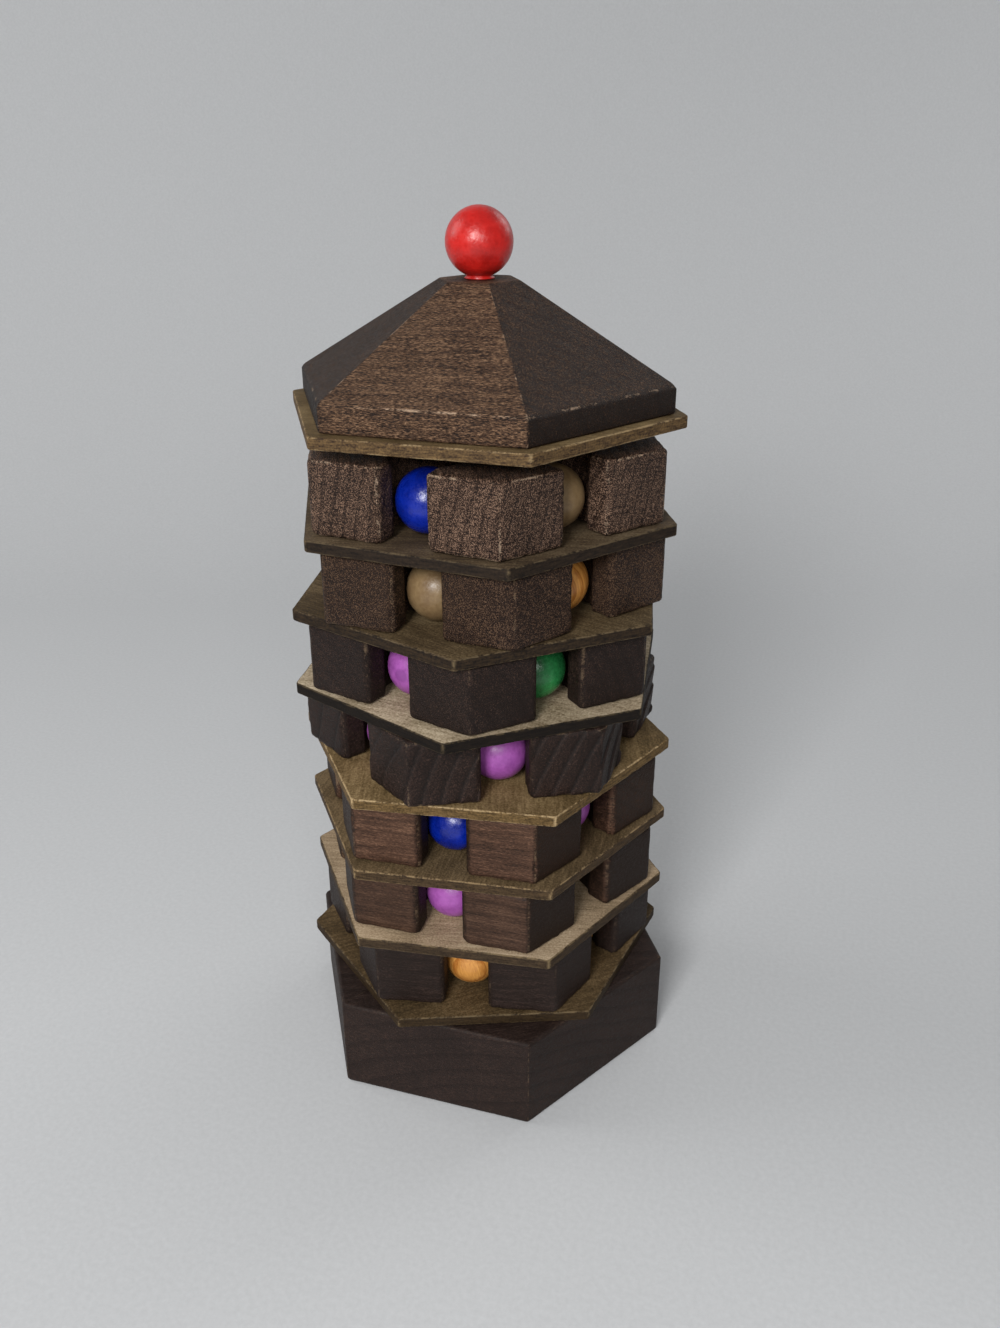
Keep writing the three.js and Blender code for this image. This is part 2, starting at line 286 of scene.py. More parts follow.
@dataclass(frozen=True)
class StainedBeech:
    """Sawn beech soaked in dark brown stain, sanded and handled.

    Long grain shows fine streaks along the board, end grain shows pores and growth rings, and rubbing has
    opened pale wood along the edges. Pale specks on every face also paint glints of light off the stain.
    """

    name: str
    grain_turn: float
    grain_tilt: float = 0.0
    pith: tuple[float, float] = (38.0, -46.0)
    ring_width: float = 2.4
    ring_depth: float = 0.2
    groove: float = 0.05
    brushed: float = 0.0
    dark: str = "#1b120e"
    mid: str = "#3f2e26"
    light: str = "#6d5646"
    bare: str = "#9c8266"
    wear: float = 0.5
    # Weight of the pale specks, which stand for the pores and also paint glints of light.
    speckle_and_glint: float = 1.0
    speck: tuple[float, float, float] = (0.6, 0.18, 0.18)
    saw_marks: float = 0.1
    # Darkening where the fibres end: partly the stain that end grain drinks, partly painted shade on the
    # sides that face away from the light.
    end_grain: float = 0.0
    seed: float = 0.0

    # Sizes of marks along the grain, across it and upwards. Beech's pores are finer than a pixel, so they are
    # drawn as coarse as speck, which shows, and the pale specks also paint glints of light off the stain.
    FIBRE = (8.0, 0.5, 0.5)
    BLOTCH = (13.0, 13.0, 13.0)
    SAW_MARK = (5.0, 5.0, 0.35)
    CHIP = (2.4, 1.2, 1.2)
    PATCH = (7.0, 7.0, 7.0)
    RELIEF = 0.12
    TONE = 0.42
    FIBRE_TONE, SPECK_TONE, BLOTCH_TONE = 0.9, 2.6, 0.45
    FIBRE_RELIEF, SPECK_RELIEF, SAW_RELIEF = 0.5, 1.8, 1.5
    CHIP_SHARE, SPECK_SHARE, PATCH_SHARE = 1.0, 0.8, 1.0
    STAIN_STOPS = (0.0, 0.45, 0.95)
    RING_WAVER = {"Distortion": 3.4, "Detail": 2.0, "Detail_Scale": 0.35, "Detail_Roughness": 0.6}
    ROUGHNESS = (0.46, 0.66)
    SPECULAR = 0.18

    # Parts of their patterns that are a saw mark, late wood, rubbed bare and an arris.
    SAWN = (0.54, 0.7)
    LATE_WOOD = (0.62, 0.97)
    RUBBED = (-0.02, 0.32)
    ARRIS = (0.4, 0.95)

    def build(self, middle: float) -> Material:
        """Make the material.

        Args:
            middle: Height of the board's middle, which its rings are drawn from.

        Returns:
            The finished material.
        """
        material, tree, shader = new_material(self.name)
        board = millimetres(tree, (0, self.grain_tilt, self.grain_turn), middle, self.seed)
        fibre = grain(tree, board, self.FIBRE)
        # Pale specks for the pores, which also paint glints of light off the stain.
        speck = grain(tree, board, self.speck)
        blotch = grain(tree, board, self.BLOTCH)
        sawn = add_node(tree, "MapRange", SMOOTH, Value=grain(tree, board, self.SAW_MARK),
                        From_Min=self.SAWN[0], From_Max=self.SAWN[1]).outputs[0]
        ring = self._rings(tree, board)
        # Faces across the grain are darkened: partly the stain that end grain drinks, partly painted shade.
        tone = weighted(tree, self.TONE, (ring, 0.0, -self.ring_depth), (fibre, MIDDLE, self.FIBRE_TONE),
                        (speck, MIDDLE, self.SPECK_TONE * self.speckle_and_glint), (blotch, MIDDLE, self.BLOTCH_TONE),
                        (sawn, 0.0, -self.saw_marks), (self._end_grain(tree), 0.0, -self.end_grain))
        stops = list(zip(self.STAIN_STOPS, (self.dark, self.mid, self.light)))
        stain = add_node(tree, "ValToRGB", {"stops": stops}, i0=tone).outputs[0]
        colour = add_node(tree, "Mix", COLOURS, i0=self._rubbed(tree, board, speck), i6=stain,
                          i7=linear(self.bare)).outputs[2]
        height = weighted(tree, 0.0, (ring, 0.0, -self.groove / self.RELIEF),
                          (fibre, MIDDLE, self.FIBRE_RELIEF),
                          (speck, MIDDLE, self.SPECK_RELIEF * self.speckle_and_glint),
                          (sawn, 0.0, -self.SAW_RELIEF * self.saw_marks))
        dress(tree, shader, colour, fibre, self.ROUGHNESS, height, self.RELIEF, self.SPECULAR)
        return material

    def _rings(self, tree: Tree, board: Socket) -> Socket:
        """Growth rings round the pith.

        Args:
            tree: Node tree that takes the nodes.
            board: Coordinates in millimetres.

        Returns:
            A number from zero in the pale early wood to one in the dark late wood; on a brushed board, one in
            the foot of a step, which settled stain and painted shade darken.
        """
        if self.brushed:
            return add_node(tree, "Attribute", {"attribute_name": Attribute.RING.value}).outputs["Fac"]
        centred = add_node(tree, "VectorMath", {"operation": "ADD"}, i0=board,
                           i1=(0.0, *self.pith)).outputs[0]
        rings = {"wave_type": "RINGS", "rings_direction": "X", "wave_profile": "SAW"}
        wave = add_node(tree, "TexWave", rings, Vector=centred, Scale=WAVE_PERIOD / self.ring_width,
                        **self.RING_WAVER).outputs[1]
        return add_node(tree, "MapRange", SMOOTH, Value=wave, From_Min=self.LATE_WOOD[0],
                        From_Max=self.LATE_WOOD[1]).outputs[0]

    def steps(self, turn: float, flat: float, edge: float) -> BrushedRings | None:
        """Steps that brushing has left in the board's sides, where it was brushed.

        Args:
            turn: Angle that the piece stands turned.
            flat: Distance from its middle to a side.
            edge: Radius of its upright edges.

        Returns:
            The steps, or nothing for a smooth board.
        """
        if not self.brushed:
            return None
        board = Euler((0.0, self.grain_tilt, self.grain_turn - turn)).to_matrix().transposed()
        return BrushedRings(board, self.pith, self.ring_width, self.brushed, flat, edge, self.seed)

    def _end_grain(self, tree: Tree) -> Socket:
        """Where the fibres end at the surface: partly the stain that end grain drinks, partly painted shade
        that darkens these sides as if they faced away from the light.

        Args:
            tree: Node tree that takes the nodes.

        Returns:
            One where the fibres end, and zero along them.
        """
        normal = add_node(tree, "TexCoord").outputs["Normal"]
        fibres = (math.cos(self.grain_turn), math.sin(self.grain_turn), 0.0)
        across = add_node(tree, "VectorMath", {"operation": "DOT_PRODUCT"}, i0=normal, i1=fibres)
        return add_node(tree, "Math", {"operation": "ABSOLUTE"}, i0=across.outputs["Value"]).outputs[0]

    def _rubbed(self, tree: Tree, board: Socket, speck: Socket) -> Socket:
        """Bare wood along the worn edges, in patches and chips.

        Args:
            tree: Node tree that takes the nodes.
            board: Coordinates in millimetres.
            speck: Pattern of the pores, which also paints glints of light.

        Returns:
            Share of bare wood.
        """
        edge = add_node(tree, "Attribute", {"attribute_name": Attribute.WEAR.value}).outputs["Fac"]
        chips = grain(tree, board, self.CHIP)
        patch = grain(tree, board, self.PATCH)
        grit = weighted(tree, 0.0, (chips, MIDDLE, self.CHIP_SHARE), (speck, MIDDLE, self.SPECK_SHARE),
                        (patch, MIDDLE, self.PATCH_SHARE))
        patchy = add_node(tree, "MapRange", SMOOTH, Value=grit, From_Min=self.RUBBED[0],
                          From_Max=self.RUBBED[1], To_Max=self.wear)
        arris = add_node(tree, "MapRange", SMOOTH, Value=edge, From_Min=self.ARRIS[0],
                         From_Max=self.ARRIS[1])
        return add_node(tree, "Math", {"operation": "MULTIPLY"},
                        i0=arris.outputs[0], i1=patchy.outputs[0]).outputs[0]


@dataclass(frozen=True)
class WornBoard:
    """Thin board with a rubbed olive brown stain.

    The sanded faces are matt, dusty and faintly streaked, the sawn rim shows its layers and has drunk more
    stain, and its arrises are rubbed back to tan.
    """

    name: str
    grain_turn: float
    face_dark: str = "#3a3022"
    face_mid: str = "#5f5139"
    face_light: str = "#87755a"
    rim: str = "#2d241b"
    rim_light: str = "#4a3c2a"
    bare: str = "#a08a66"
    wear: float = 0.6
    seed: float = 0.0

    STREAK = (7.0, 0.6, 0.6)
    GRIT = (0.4, 0.4, 0.4)
    CLOUD = (15.0, 15.0, 15.0)
    CHIP = (4.2, 1.4, 1.4)
    RIM_LAYER = (2.5, 2.5, 0.3)
    RELIEF = 0.1
    TONE = 0.5
    STREAK_TONE, GRIT_TONE, CLOUD_TONE = 0.8, 1.3, 1.2
    RIM_LAYER_TONE, RIM_GRIT_TONE = 1.0, 0.8
    CHIP_SHARE, GRIT_SHARE, CLOUD_SHARE = 1.0, 0.6, 0.6
    STREAK_RELIEF, GRIT_RELIEF = 0.5, 0.8
    FACE_STOPS = (0.1, 0.5, 0.9)
    RIM_STOPS = (0.3, 0.8)
    RUBBED = (-0.16, 0.14)  # Part of the grime that is rubbed bare.
    ROUGHNESS = (0.62, 0.8)
    SPECULAR = 0.15

    def build(self) -> Material:
        """Make the material.

        Returns:
            The finished material.
        """
        material, tree, shader = new_material(self.name)
        board = millimetres(tree, (0, 0, self.grain_turn), shift=self.seed)
        streak = grain(tree, board, self.STREAK)
        grit = grain(tree, board, self.GRIT)
        cloud = grain(tree, board, self.CLOUD)
        chips = grain(tree, board, self.CHIP)
        layers = grain(tree, board, self.RIM_LAYER)
        tone = weighted(tree, self.TONE, (streak, MIDDLE, self.STREAK_TONE), (grit, MIDDLE, self.GRIT_TONE),
                        (cloud, MIDDLE, self.CLOUD_TONE))
        stops = list(zip(self.FACE_STOPS, (self.face_dark, self.face_mid, self.face_light)))
        face = add_node(tree, "ValToRGB", {"stops": stops}, i0=tone).outputs[0]
        sawn = weighted(tree, self.TONE, (layers, MIDDLE, self.RIM_LAYER_TONE),
                        (grit, MIDDLE, self.RIM_GRIT_TONE))
        stops = list(zip(self.RIM_STOPS, (self.rim, self.rim_light)))
        rim = add_node(tree, "ValToRGB", {"stops": stops}, i0=sawn).outputs[0]
        edge = add_node(tree, "Attribute", {"attribute_name": Attribute.EDGE.value}).outputs["Fac"]
        colour = add_node(tree, "Mix", COLOURS, i0=edge, i6=face, i7=rim).outputs[2]
        worn = add_node(tree, "Attribute", {"attribute_name": Attribute.WEAR.value}).outputs["Fac"]
        grime = weighted(tree, 0.0, (chips, MIDDLE, self.CHIP_SHARE), (grit, MIDDLE, self.GRIT_SHARE),
                         (cloud, MIDDLE, self.CLOUD_SHARE))
        patchy = add_node(tree, "MapRange", SMOOTH, Value=grime, From_Min=self.RUBBED[0],
                          From_Max=self.RUBBED[1], To_Max=self.wear).outputs[0]
        share = add_node(tree, "Math", {"operation": "MULTIPLY"}, i0=worn, i1=patchy).outputs[0]
        colour = add_node(tree, "Mix", COLOURS, i0=share, i6=colour, i7=linear(self.bare)).outputs[2]
        height = weighted(tree, 0.0, (streak, MIDDLE, self.STREAK_RELIEF), (grit, MIDDLE, self.GRIT_RELIEF))
        dress(tree, shader, colour, grit, self.ROUGHNESS, height, self.RELIEF, self.SPECULAR)
        return material


@dataclass(frozen=True)
class Lacquer:
    """Coloured lacquer dipped over a turned wooden ball.

    The film is glossy with a faint orange peel, and thin on the flats that the lathe's centres left.
    """

    name: str
    colour: str
    shadow: str
    roughness: tuple[float, float] = (0.3, 0.46)
    coat: float = 0.15

    PEEL = (0.7, 0.7, 0.7)
    CLOUD = (5.0, 5.0, 5.0)
    RELIEF = 0.08
    TONE = 0.5
    CLOUD_TONE, PEEL_TONE, THIN_TONE = 1.6, 0.6, -0.5
    STOPS = (0.2, 0.7)
    SPECULAR = 0.45

    def build(self) -> Material:
        """Make the material.

        Returns:
            The finished material.
        """
        material, tree, shader = new_material(self.name)
        ball = millimetres(tree)
        peel = grain(tree, ball, self.PEEL)
        cloud = grain(tree, ball, self.CLOUD)
        thin = add_node(tree, "Attribute", {"attribute_name": Attribute.WEAR.value}).outputs["Fac"]
        depth = weighted(tree, self.TONE, (cloud, MIDDLE, self.CLOUD_TONE), (peel, MIDDLE, self.PEEL_TONE),
                         (thin, 0.0, self.THIN_TONE))
        stops = list(zip(self.STOPS, (self.shadow, self.colour)))
        colour = add_node(tree, "ValToRGB", {"stops": stops}, i0=depth).outputs[0]
        dress(tree, shader, colour, peel, self.roughness, peel, self.RELIEF, self.SPECULAR, self.coat)
        return material


@dataclass(frozen=True)
class PaleTurnedWood:
    """Pale turned wood, bare or with its growth rings showing through the gloss of clear lacquer."""

    name: str
    dark: str = "#ad6b2c"
    light: str = "#dc9c4e"
    roughness: tuple[float, float] = (0.31, 0.46)
    coat: float = 0.3
    ring_width: float = 1.5

    FIBRE = (5.0, 0.4, 0.4)
    RELIEF = 0.04
    LEAN = (0.2, 1.35, 0.4)
    TONE = 0.55
    FIBRE_TONE, LATE_TONE = 1.2, -0.45
    STOPS = (0.1, 0.7)
    LATE_WOOD = 0.3  # Share of a ring past which it darkens.
    RING_WAVER = {"Distortion": 2.0, "Detail": 2.0, "Detail_Scale": 0.4}
    SPECULAR = 0.45

    def build(self) -> Material:
        """Make the material.

        Returns:
            The finished material.
        """
        material, tree, shader = new_material(self.name)
        ball = millimetres(tree, self.LEAN)
        bands = {"wave_type": "BANDS", "bands_direction": "Y", "wave_profile": "SAW"}
        wave = add_node(tree, "TexWave", bands, Vector=ball, Scale=WAVE_PERIOD / self.ring_width,
                        **self.RING_WAVER).outputs[1]
        late = add_node(tree, "MapRange", SMOOTH, Value=wave, From_Min=self.LATE_WOOD).outputs[0]
        fibre = grain(tree, ball, self.FIBRE)
        tone = weighted(tree, self.TONE, (fibre, MIDDLE, self.FIBRE_TONE), (late, 0.0, self.LATE_TONE))
        stops = list(zip(self.STOPS, (self.dark, self.light)))
        colour = add_node(tree, "ValToRGB", {"stops": stops}, i0=tone).outputs[0]
        dress(tree, shader, colour, fibre, self.roughness, fibre, self.RELIEF, self.SPECULAR, self.coat)
        return material


@dataclass(frozen=True)
class MattPaper:
    """Pale photographer's paper, whose fine tooth gives an even, matt ground."""

    name: str = "matt_paper"
    dark: str = "#c4c5c6"
    light: str = "#cbcccd"

    TOOTH = (1.1, 1.1, 1.1)
    RELIEF = 0.02
    ROUGHNESS = (0.85, 0.95)
    SPECULAR = 0.1

    def build(self) -> Material:
        """Make the material.

        Returns:
            The finished material.
        """
        material, tree, shader = new_material(self.name)
        tooth = grain(tree, millimetres(tree), self.TOOTH)
        stops = list(zip(COMMON, (self.dark, self.light)))
        colour = add_node(tree, "ValToRGB", {"stops": stops}, i0=tooth).outputs[0]
        dress(tree, shader, colour, tooth, self.ROUGHNESS, tooth, self.RELIEF, self.SPECULAR)
        return material


def arc(centre: Vector, radius: float, start: float, end: float, steps: int, wear: float) -> Loop:
    """Points of an arc, both ends included.

    Args:
        centre: Middle of the circle.
        radius: Radius of the circle.
        start: First angle.
        end: Last angle, less than the first where the arc runs clockwise.
        steps: Number of steps.
        wear: Wear at the middle of the arc. It fades to none at both ends.

    Returns:
        The points with their wear.
    """
    loop = []
    for i in range(steps + 1):
        angle = start + (end - start) * i / steps
        point = centre + Vector((math.cos(angle), math.sin(angle))) * radius
        loop.append((point, wear * math.sin(math.pi * i / steps) ** WEAR_FALL))
    return loop


def divided(loop: Loop, spacing: float) -> Loop:
    """Put extra points on the long straight runs of a closed loop.

    Args:
        loop: Points with their wear.
        spacing: Longest step that is left.

    Returns:
        The loop with the added points.
    """
    result: Loop = []
    for (point, wear), (following, _) in zip(loop, loop[1:] + loop[:1]):
        result.append((point, wear))
        count = int((following - point).length / spacing)
        for i in range(1, count + 1):
            result.append((point.lerp(following, i / (count + 1)), 0.0))
    return result


def inward(loop: Loop) -> list[Vector]:
    """Direction into the material at each point of a loop with the material on its left.

    Args:
        loop: Points with their wear.

    Returns:
        Vectors whose length keeps both neighbouring sides at one distance.
    """
    result = []
    for i, (point, _) in enumerate(loop):
        before = (point - loop[i - 1][0]).normalized()
        after = (loop[(i + 1) % len(loop)][0] - point).normalized()
        middle = before + after
        middle.normalize()
        normal = Vector((-middle.y, middle.x))
        result.append(normal / max(MITRE_LEAST, Vector((-after.y, after.x)).dot(normal)))
    return result


def hex_loop(flat: float, corner: float, steps: int, wear: float) -> Loop:
    """Hexagon with rounded corners and a side towards -Y, run anticlockwise.

    Args:
        flat: Distance from the middle to a side.
        corner: Radius of the corners.
        steps: Steps of each corner.
        wear: Wear of the corners.

    Returns:
        The points with their wear.
    """
    loop: Loop = []
    for side in range(SIDES):
        facing = FRONT + side * SIDE_STEP
        reach = (flat - corner) / math.cos(SIDE_STEP / 2)
        towards = facing + SIDE_STEP / 2
        centre = Vector((math.cos(towards), math.sin(towards))) * reach
        loop += arc(centre, corner, facing, facing + SIDE_STEP, steps, wear)
    return loop


def round_hole(centre: Vector, radius: float, steps: int) -> Loop:
    """Circle run clockwise, so that the material lies on its left."""
    return arc(centre, radius, 2 * math.pi, 2 * math.pi / steps, steps - 1, 0.0)


def turn_of(node: str) -> float:
    """Angle that a hexagonal node stands turned from the base.

    Args:
        node: Name of the node.

    Returns:
        The angle in radians, at most half a side either way.
    """
    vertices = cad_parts[node].data.vertices
    points = {complex(round(v.co.x, POINT_DIGITS), round(v.co.y, POINT_DIGITS)) for v in vertices}
    reach = max(abs(p) for p in points)
    sixfold = sum((p / abs(p)) ** SIDES for p in points if abs(p) > CORNER_SHARE * reach)
    # Corners of an unturned hexagon lie on the X axis.
    return cmath.phase(sixfold) / SIDES


def flat_of(node: str, turn: float) -> float:
    """Distance from the dowel's axis to a side of a hexagonal node.

    Args:
        node: Name of the node.
        turn: Angle that the node stands turned.

    Returns:
        The distance in millimetres.
    """
    facing = Vector((math.cos(FRONT + turn), math.sin(FRONT + turn)))
    return max(v.co.xy.dot(facing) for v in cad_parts[node].data.vertices) / MM


def height_of(node: str) -> float:
    """Height of a node, in millimetres."""
    low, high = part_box(node)
    return (high.z - low.z) / MM


def cell_reach() -> float:
    """Distance from the dowel's axis to the axis of a ball cell.

    Returns:
        The distance in millimetres, taken from where a ball of the frame lies.
    """
    ball = next(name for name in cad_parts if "_ball_tier" in name)
    low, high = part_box(ball)
    return ((low + high) / 2).xy.length / MM


class SurfaceMesh:
    """Gathers points, faces and finish numbers of one piece, in millimetres."""

    EVEN_FACES = 80

    def __init__(self) -> None:
        """Start with nothing in it."""
        self.mesh = bmesh.new()
        self.wear = self.mesh.verts.layers.float.new(Attribute.WEAR.value)
        self.edge = self.mesh.verts.layers.float.new(Attribute.EDGE.value)
        self.ring = self.mesh.verts.layers.float.new(Attribute.RING.value)

    def point(self, place: Sequence[float], wear: float = 0.0, edge: float = 0.0, ring: float = 0.0) -> Vert:
        """Add one point.

        Args:
            place: Coordinates.
            wear: Wear there.
            edge: One on a sawn rim.
            ring: One in the dark foot of a growth ring's step, which settled stain and painted shade darken.

        Returns:
            The new point.
        """
        vert = self.mesh.verts.new(place)
        vert[self.wear] = wear
        vert[self.edge] = edge
        vert[self.ring] = ring
        return vert

    def circle(self, radius: float, height: float, spokes: int, wear: float = 0.0) -> list[Vert]:
        """Add a level ring of points round the upright axis.

        Args:
            radius: Radius of the ring.
            height: Height of the ring.
            spokes: Number of points.
            wear: Wear of the points.

        Returns:
            The points.
        """
        turns = (2 * math.pi * k / spokes for k in range(spokes))
        places = ((radius * math.cos(turn), radius * math.sin(turn), height) for turn in turns)
        return [self.point(place, wear) for place in places]

    def skin(self, rings: Sequence[list[Vert]]) -> None:
        """Join each closed ring to the next, which has as many points, with faces.

        Args:
            rings: The rings, in order.
        """
        for lower, upper in zip(rings, rings[1:]):
            for i in range(len(lower)):
                self.mesh.faces.new((lower[i - 1], lower[i], upper[i], upper[i - 1]))

    def cap(self, rings: Sequence[list[Vert]]) -> None:
        """Fill the flat area that one or more rings bound.

        Args:
            rings: The rings, with the outer one first.
        """
        edges = []
        for ring in rings:
            for i, vert in enumerate(ring):
                edge = self.mesh.edges.get((vert, ring[i - 1]))
                edges.append(edge or self.mesh.edges.new((vert, ring[i - 1])))
        bmesh.ops.triangle_fill(self.mesh, use_beauty=True, edges=edges)

    def finished(self, name: str, material: Material, turn: float = 0.0, lift: float = 0.0
                 ) -> bpy.types.Object:
        """Make the object.

        Args:
            name: Name of the piece.
            material: Finish of the piece.
            turn: Angle about the dowel.
            lift: Height of the piece's zero level.

        Returns:
            The object, linked into the scene.
        """
        bmesh.ops.recalc_face_normals(self.mesh, faces=self.mesh.faces)
        place = Matrix.Translation((0, 0, lift * MM)) @ Matrix.Rotation(turn, 4, "Z") @ Matrix.Scale(MM, 4)
        bmesh.ops.transform(self.mesh, matrix=place, verts=self.mesh.verts)
        for face in self.mesh.faces:
            face.smooth = True
        data = bpy.data.meshes.new(name)
        self.mesh.to_mesh(data)
        self.mesh.free()
        data.materials.append(material)
        obj = bpy.data.objects.new(name, data)
        bpy.context.scene.collection.objects.link(obj)
        obj.modifiers.new("even_faces", "WEIGHTED_NORMAL").weight = self.EVEN_FACES
        return obj


def place_piece(obj: bpy.types.Object, body: str, slot: str, *nodes: str) -> None:
    """Let a piece ride on its body and stand for its nodes.

    Args:
        obj: The piece.
        body: Body that carries it.
        slot: Name of a material slot; not used.
        *nodes: Nodes that it stands for.
    """
    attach(obj, body)
    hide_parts(*nodes)
    LOG.info("%s rides on %s", obj.name, body)


@dataclass
class Slab:
    """A board cut to an outline, with holes and with rims that sanding has rounded unevenly."""

    thickness: float
    rim: float
    unevenness: float
    steps: int = 4
    spacing: float = 0.9
    seed: float = 0.0
    rim_is_sawn: bool = False
    chips: float = 0.0
    brushed: BrushedRings | None = None

    TOP_SEED = 7.0
    RIM_WAVES = ((0.55, 1.0), (1.7, 0.6))
    CHIP_LENGTHS = (1.3, 4.5)

    def build(self, outline: Loop, holes: Sequence[Loop]) -> SurfaceMesh:
        """Make the board.

        Args:
            outline: Outer loop, anticlockwise.
            holes: Loops of the holes, clockwise.

        Returns:
            The surface, standing on its zero level.
        """
        surface = SurfaceMesh()
        tops, bottoms = [], []
        for loop in (outline, *holes):
            loop = divided(loop, self.spacing)
            towards = inward(loop)
            rings = [self._ring(surface, loop, towards, share, angle) for share, angle in self._levels()]
            surface.skin(rings)
            bottoms.append(rings[0])
            tops.append(rings[-1])
        surface.cap(tops)
        surface.cap(bottoms)
        return surface

    def _levels(self) -> list[tuple[float, float]]:
        """Levels of the side's rings, from the bottom up.

        Returns:
            Share of the wall's height and angle on the rim's rounding of each ring.
        """
        angles = [math.pi / 2 * step / self.steps for step in range(self.steps + 1)]
        walls = max(1, int(self.thickness / self.spacing))
        levels = [(0.0, angle) for angle in reversed(angles)]
        levels += [(i / walls, 0.0) for i in range(1, walls)]
        return levels + [(1.0, angle) for angle in angles]

    def _rim_radius(self, point: Vector, seed: float) -> float:
        """Radius of the rim, which sanding by hand has made uneven.

        Args:
            point: Place on the loop.
            seed: Level of the noise that is read.

        Returns:
            The radius.
        """
        sample = Vector((point.x, point.y, seed))
        rough = sum(weight * noise.noise(sample * waves) for waves, weight in self.RIM_WAVES)
        return self.rim * (1 + self.unevenness * rough)

    def _chip(self, point: Vector, height: float) -> float:
        """Depth of the nicks that knocks have left in a fully worn edge.

        Args:
            point: Place on the loop.
            height: Height on the edge.

        Returns:
            The depth.
        """
        sample = Vector((point.x, point.y, height + self.seed))
        small, large = (noise.noise(sample / length) for length in self.CHIP_LENGTHS)
        return self.chips * max(0.0, small + large)

    def _ring(self, surface: SurfaceMesh, loop: Loop, towards: list[Vector], share: float, angle: float
              ) -> list[Vert]:
        """Add one ring of the side.

        Args:
            surface: Mesh that takes the points.
            loop: Points of the outline or of a hole.
            towards: Direction into the material at each point.
            share: Share of the wall's height, which is one on the upper rim.
            angle: Angle on the rim's rounding, from zero on the wall to a right angle.

        Returns:
            The points of the ring.
        """
        ring = []
        on_top = share == 1.0
        for (point, wear), side in zip(loop, towards):
            below = self._rim_radius(point, self.seed)
            above = self._rim_radius(point, self.seed + self.TOP_SEED)
            radius = above if on_top else below
            height = below + (self.thickness - above - below) * share
            height += radius * math.sin(angle) * (1 if on_top else -1)
            inset, stain = radius * (1 - math.cos(angle)) + wear * self._chip(point, height), 0.0
            # On a brushed board, the foot of each step is darkened by settled stain and by painted shade in
            # the recess.
            if self.brushed:
                sunk, stain = self.brushed.at(Vector((point.x, point.y, height - self.thickness / 2)))
                inset += sunk * math.cos(angle)
            place = point + side * inset
            worn = max(wear * math.cos(angle), math.sin(2 * angle) ** WEAR_FALL)
            sawn = 1.0 if self.rim_is_sawn and angle < math.pi / 2 else 0.0
            ring.append(surface.point((place.x, place.y, height), worn, sawn, stain * math.cos(angle)))
        return ring


@dataclass
class Tier:
    """One turning block with six keyhole ball cells."""

    number: int
    finish: StainedBeech
    cell_diameter: float = CELL_DIAMETER
    mouth_width: float = 9.0
    upright_edge: float = 1.3
    rim: float = 1.0
    bore_diameter: float = BORE_DIAMETER
    unevenness: float = 0.4
    corner_wear: float = 0.9
    mouth_wear: float = 1.0
    spacing: float = 0.9
    brushed_spacing: float = 0.33
    cell_steps: int = 26
    edge_steps: int = 5
    bore_steps: int = 40

    SEED_STEP = 31.0

    @property
    def node(self) -> str:
        """Name of the node and of the body."""
        return f"tier_{self.number}"

    def outline(self, flat: float, reach: float) -> Loop:
        """Draw the outer loop: along each side, in by the mouth, round the cell and out again.

        Args:
            flat: Distance from the middle to a side.
            reach: Distance from the middle to a cell's axis.

        Returns:
            The loop, anticlockwise.
        """
        half = self.mouth_width / 2
        edge = self.upright_edge
        radius = self.cell_diameter / 2
        opening = math.asin(half / radius)
        corners = hex_loop(flat, edge, self.edge_steps, self.corner_wear)
        per_corner = self.edge_steps + 1
        loop: Loop = []
        for side in range(SIDES):
            mouth = arc(Vector((-half - edge, edge - flat)), edge, FRONT, 0.0,
                        self.edge_steps, self.mouth_wear)
            mouth += arc(Vector((0, -reach)), radius, FRONT - opening,
                         FRONT - 2 * math.pi + opening, self.cell_steps, 0.0)
            mouth += arc(Vector((half + edge, edge - flat)), edge, math.pi, 2 * math.pi + FRONT,
                         self.edge_steps, self.mouth_wear)
            spin = Matrix.Rotation(side * SIDE_STEP, 2)
            loop += [(spin @ point, wear) for point, wear in mouth]
            loop += corners[side * per_corner:(side + 1) * per_corner]
        return loop

    def build(self) -> None:
        """Make the tier and put it in its place."""
        low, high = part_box(self.node)
        turn = turn_of(self.node)
        flat = flat_of(self.node, turn)
        brushed = self.finish.steps(turn, flat, self.upright_edge)
        slab = Slab(height_of(self.node), self.rim, self.unevenness, seed=self.number * self.SEED_STEP,
                    spacing=self.brushed_spacing if brushed else self.spacing, chips=self.finish.wear,
                    brushed=brushed)
        bore = round_hole(Vector((0, 0)), self.bore_diameter / 2, self.bore_steps)
        surface = slab.build(self.outline(flat, cell_reach()), [bore])
        material = self.finish.build((low.z + high.z) / 2 / MM)
        obj = surface.finished(f"{self.node}_block", material, turn, low.z / MM)
        place_piece(obj, self.node, "stained_block", self.node)


